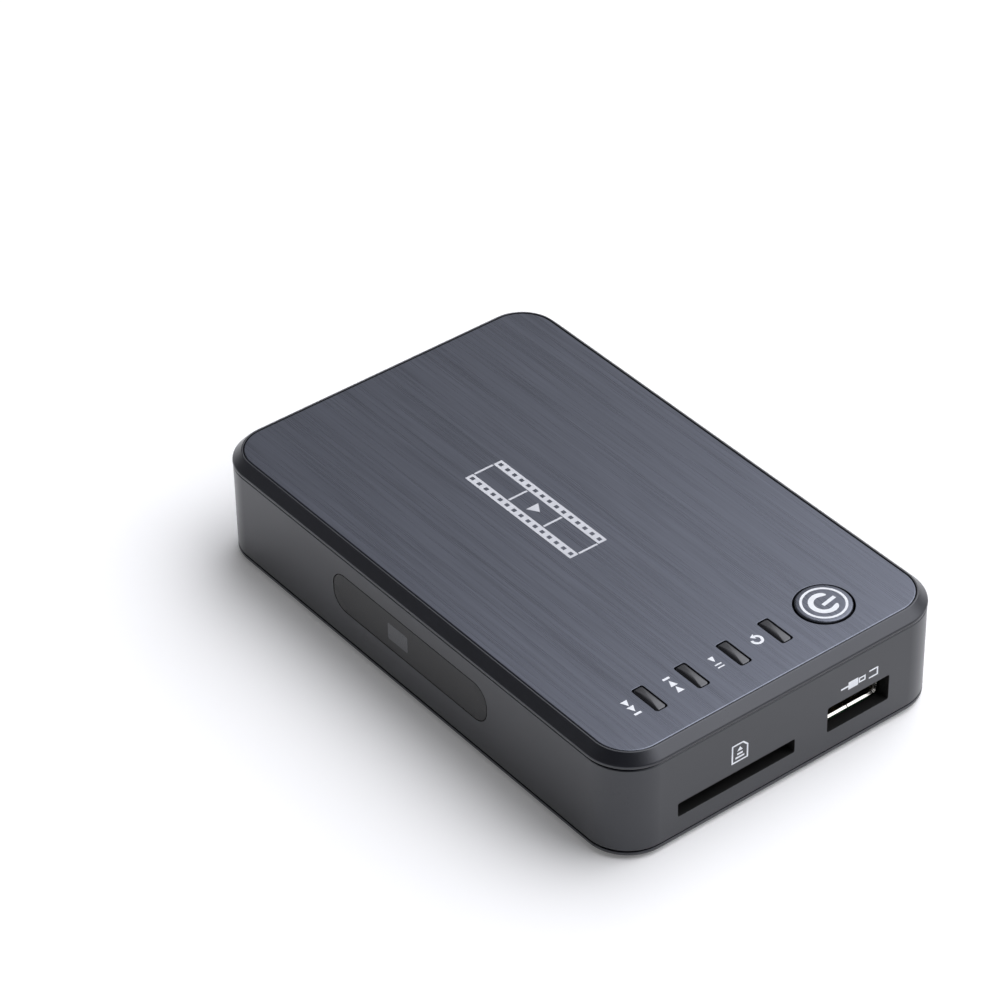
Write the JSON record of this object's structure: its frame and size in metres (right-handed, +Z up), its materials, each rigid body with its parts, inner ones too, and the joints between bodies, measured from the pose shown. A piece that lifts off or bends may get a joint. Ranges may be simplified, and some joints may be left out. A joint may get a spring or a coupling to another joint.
{
  "type": "media player box",
  "caption": "Flat media player box with a brushed top plate, sprung keys, a card slot, sockets in its end and back, and its boards inside",
  "frame": {"origin": "under the middle of the box, on the surface that its feet stand on", "axes": "+X out of the end with the card slot and the USB socket, -Y out of the side with the receiver window, +Z up"},
  "size_m": [0.1168, 0.0742, 0.023],
  "materials": {
    "case_plastic": "fine satin grain, dark graphite",
    "brushed_plate": "brushed along the length, dark grey anodised",
    "gloss_key": "polished",
    "window_acrylic": "polished, dark tinted",
    "insulator": "moulded",
    "foot_rubber": "matt",
    "nickel_sheet": "bright nickel plate",
    "gold_contact": "gold plate",
    "screw_steel": "zinc plate",
    "steel_sheet": "tinned sheet",
    "board_laminate": "green solder mask",
    "chip_epoxy": "moulded epoxy",
    "thermal_pad": "soft pad",
    "bare_aluminium": "satin",
    "ferrite": "dull",
    "clear_epoxy": "clear moulded",
    "ivory_plastic": "moulded",
    "ribbon_film": "laminated film"
  },
  "bodies": {
    "root": {"av_jack": "insulator", "back_switch": "insulator", "bottom_cover": "case_plastic", "capacitor_1": "bare_aluminium", "capacitor_2": "bare_aluminium", "card_body": "insulator", "card_shell": "steel_sheet", "case_body": "case_plastic", "case_screw_1": "screw_steel", "case_screw_2": "screw_steel", "case_screw_3": "screw_steel", "case_screw_4": "screw_steel", "circuit_board": "board_laminate", "crystal": "nickel_sheet", "dc_jack": "insulator", "dc_pin": "nickel_sheet", "flash_chip": "chip_epoxy", "foot_1": "foot_rubber", "foot_2": "foot_rubber", "foot_3": "foot_rubber", "foot_4": "foot_rubber", "forward_switch": "insulator", "hdmi_body": "insulator", "hdmi_shell": "nickel_sheet", "heat_sink": "bare_aluminium", "inductor": "ferrite", "key_board": "board_laminate", "key_board_screw_1": "screw_steel", "key_board_screw_2": "screw_steel", "key_ribbon": "ribbon_film", "lower_ribbon_socket": "ivory_plastic", "main_chip": "chip_epoxy", "memory_chip": "chip_epoxy", "play_switch": "insulator", "power_switch": "insulator", "receiver_module": "chip_epoxy", "receiver_window": "window_acrylic", "return_switch": "insulator", "status_led": "clear_epoxy", "thermal_pad": "thermal_pad", "top_cover": "case_plastic", "top_plate": "brushed_plate", "upper_ribbon_socket": "ivory_plastic", "usb_body": "insulator", "usb_contact_1": "gold_contact", "usb_contact_2": "gold_contact", "usb_contact_3": "gold_contact", "usb_contact_4": "gold_contact", "usb_shell": "nickel_sheet"},
    "forward_key_moving": {"forward_key": "gloss_key", "forward_plunger": "ivory_plastic"},
    "back_key_moving": {"back_key": "gloss_key", "back_plunger": "ivory_plastic"},
    "play_key_moving": {"play_key": "gloss_key", "play_plunger": "ivory_plastic"},
    "return_key_moving": {"return_key": "gloss_key", "return_plunger": "ivory_plastic"},
    "power_button_moving": {"power_button": "brushed_plate", "power_plunger": "ivory_plastic"}
  },
  "joints": [
    {"name": "forward_press", "type": "slide", "parent": "root", "child": "forward_key_moving", "axis": [0, 0, -1], "range_m": [0, 0.0004], "stiffness_N_per_m": 600},
    {"name": "back_press", "type": "slide", "parent": "root", "child": "back_key_moving", "axis": [0, 0, -1], "range_m": [0, 0.0004], "stiffness_N_per_m": 600},
    {"name": "play_press", "type": "slide", "parent": "root", "child": "play_key_moving", "axis": [0, 0, -1], "range_m": [0, 0.0004], "stiffness_N_per_m": 600},
    {"name": "return_press", "type": "slide", "parent": "root", "child": "return_key_moving", "axis": [0, 0, -1], "range_m": [0, 0.0004], "stiffness_N_per_m": 600},
    {"name": "power_press", "type": "slide", "parent": "root", "child": "power_button_moving", "axis": [0, 0, -1], "range_m": [0, 0.0004], "stiffness_N_per_m": 600}
  ]
}
